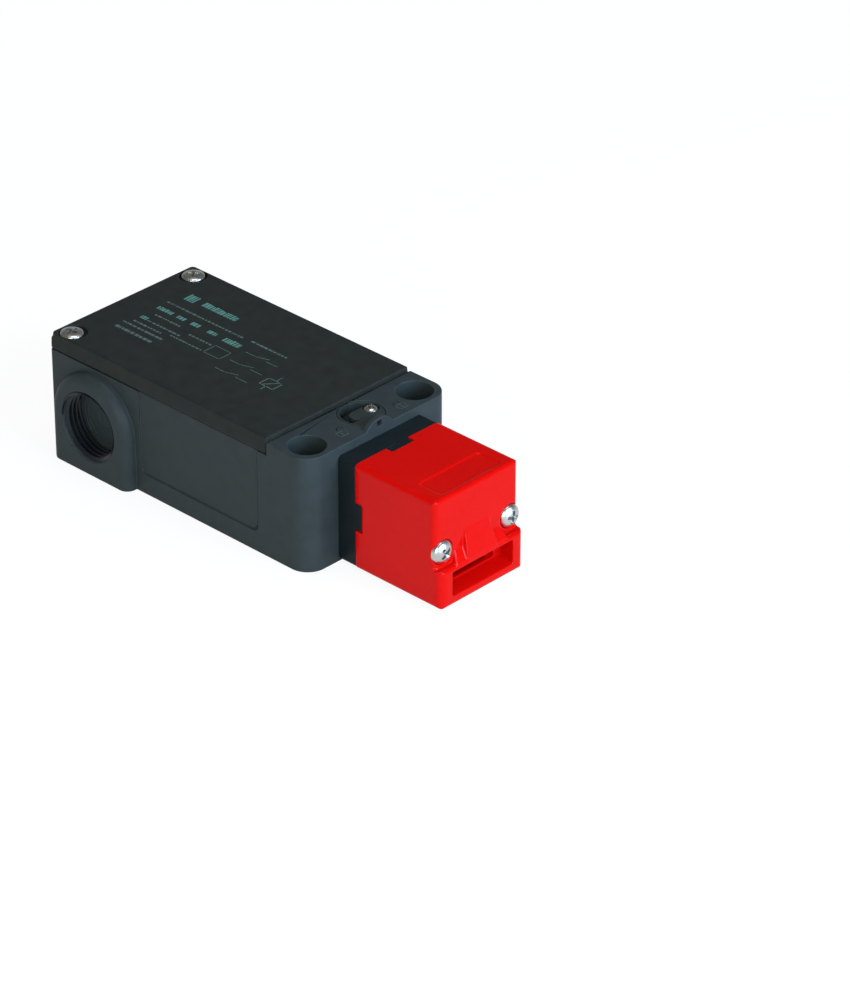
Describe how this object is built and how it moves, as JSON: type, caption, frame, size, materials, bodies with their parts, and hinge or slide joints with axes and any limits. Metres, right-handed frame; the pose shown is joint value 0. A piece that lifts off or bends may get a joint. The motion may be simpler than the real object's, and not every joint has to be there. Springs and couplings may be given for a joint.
{
  "type": "solenoid interlock switch",
  "caption": "Guard-locking switch: flat polymer body with side cable entries, screwed cover, release rotor and a square red head with a key slot.",
  "frame": {"origin": "midway between the two mounting holes, on the mounting face", "axes": "+X points to the key head, +Y to the side away from the solenoid, +Z from the mounting face to the cover"},
  "size_m": [0.1352, 0.0612, 0.037],
  "materials": {
    "housing_polymer": "satin",
    "cover_polymer": "satin",
    "seal_rubber": "matte",
    "bright_steel": "bright zinc",
    "collar_polymer": "satin",
    "red_paint": "gloss",
    "plain_steel": "ground",
    "spring_steel": "bright",
    "pale_polymer": "satin",
    "contact_brass": "bright",
    "plated_steel": "yellow zinc",
    "bobbin_polymer": "satin",
    "copper_winding": "enamelled",
    "rotor_polymer": "satin"
  },
  "bodies": {
    "switch_body": {"housing": "housing_polymer", "cover": "cover_polymer", "cover_gasket": "seal_rubber", "cover_screws": "bright_steel", "collar": "collar_polymer", "head_seal": "seal_rubber", "key_head": "red_paint", "head_screws": "bright_steel", "cam_axle": "plain_steel", "contact_case": "pale_polymer", "fixed_contacts": "contact_brass", "terminal_screws": "bright_steel", "case_screws": "bright_steel", "solenoid_frame": "plated_steel", "solenoid_core": "plain_steel", "coil_bobbin": "bobbin_polymer", "coil_winding": "copper_winding", "rod_spring": "spring_steel", "armature_spring": "spring_steel"},
    "key_cam": {"key_cam": "plain_steel"},
    "drive_rod": {"drive_rod": "plain_steel", "contact_carrier": "pale_polymer", "contact_bridges": "contact_brass"},
    "lock_bolt": {"armature": "plain_steel", "lock_bolt": "plain_steel"},
    "release_rotor": {"release_rotor": "rotor_polymer", "release_pin": "plain_steel", "release_seal": "seal_rubber", "release_clip": "spring_steel", "release_screw": "bright_steel"}
  },
  "joints": [
    {"name": "key_cam_turn", "type": "hinge", "parent": "switch_body", "child": "key_cam", "pos_m": [0.0268, 0, 0.02054], "axis": [0, 1, 0], "range_deg": [0, 60]},
    {"name": "drive_rod_slide", "type": "slide", "parent": "switch_body", "child": "drive_rod", "axis": [-1, 0, 0], "range_m": [0, 0.0046], "deforming": ["rod_spring"]},
    {"name": "release_turn", "type": "hinge", "parent": "switch_body", "child": "release_rotor", "pos_m": [-0.0018, 0.0017, 0.03], "axis": [0, 0, 1], "range_deg": [0, 180]},
    {"name": "lock_bolt_slide", "type": "slide", "parent": "switch_body", "child": "lock_bolt", "axis": [0, -1, 0], "range_m": [0, 0.0025], "deforming": ["armature_spring"]}
  ],
  "couplings": [
    {"joint": "drive_rod_slide", "follows": "key_cam_turn", "m_per_rad": 0.0043927},
    {"joint": "release_turn", "follows": "lock_bolt_slide", "rad_per_m": 1256.6}
  ]
}
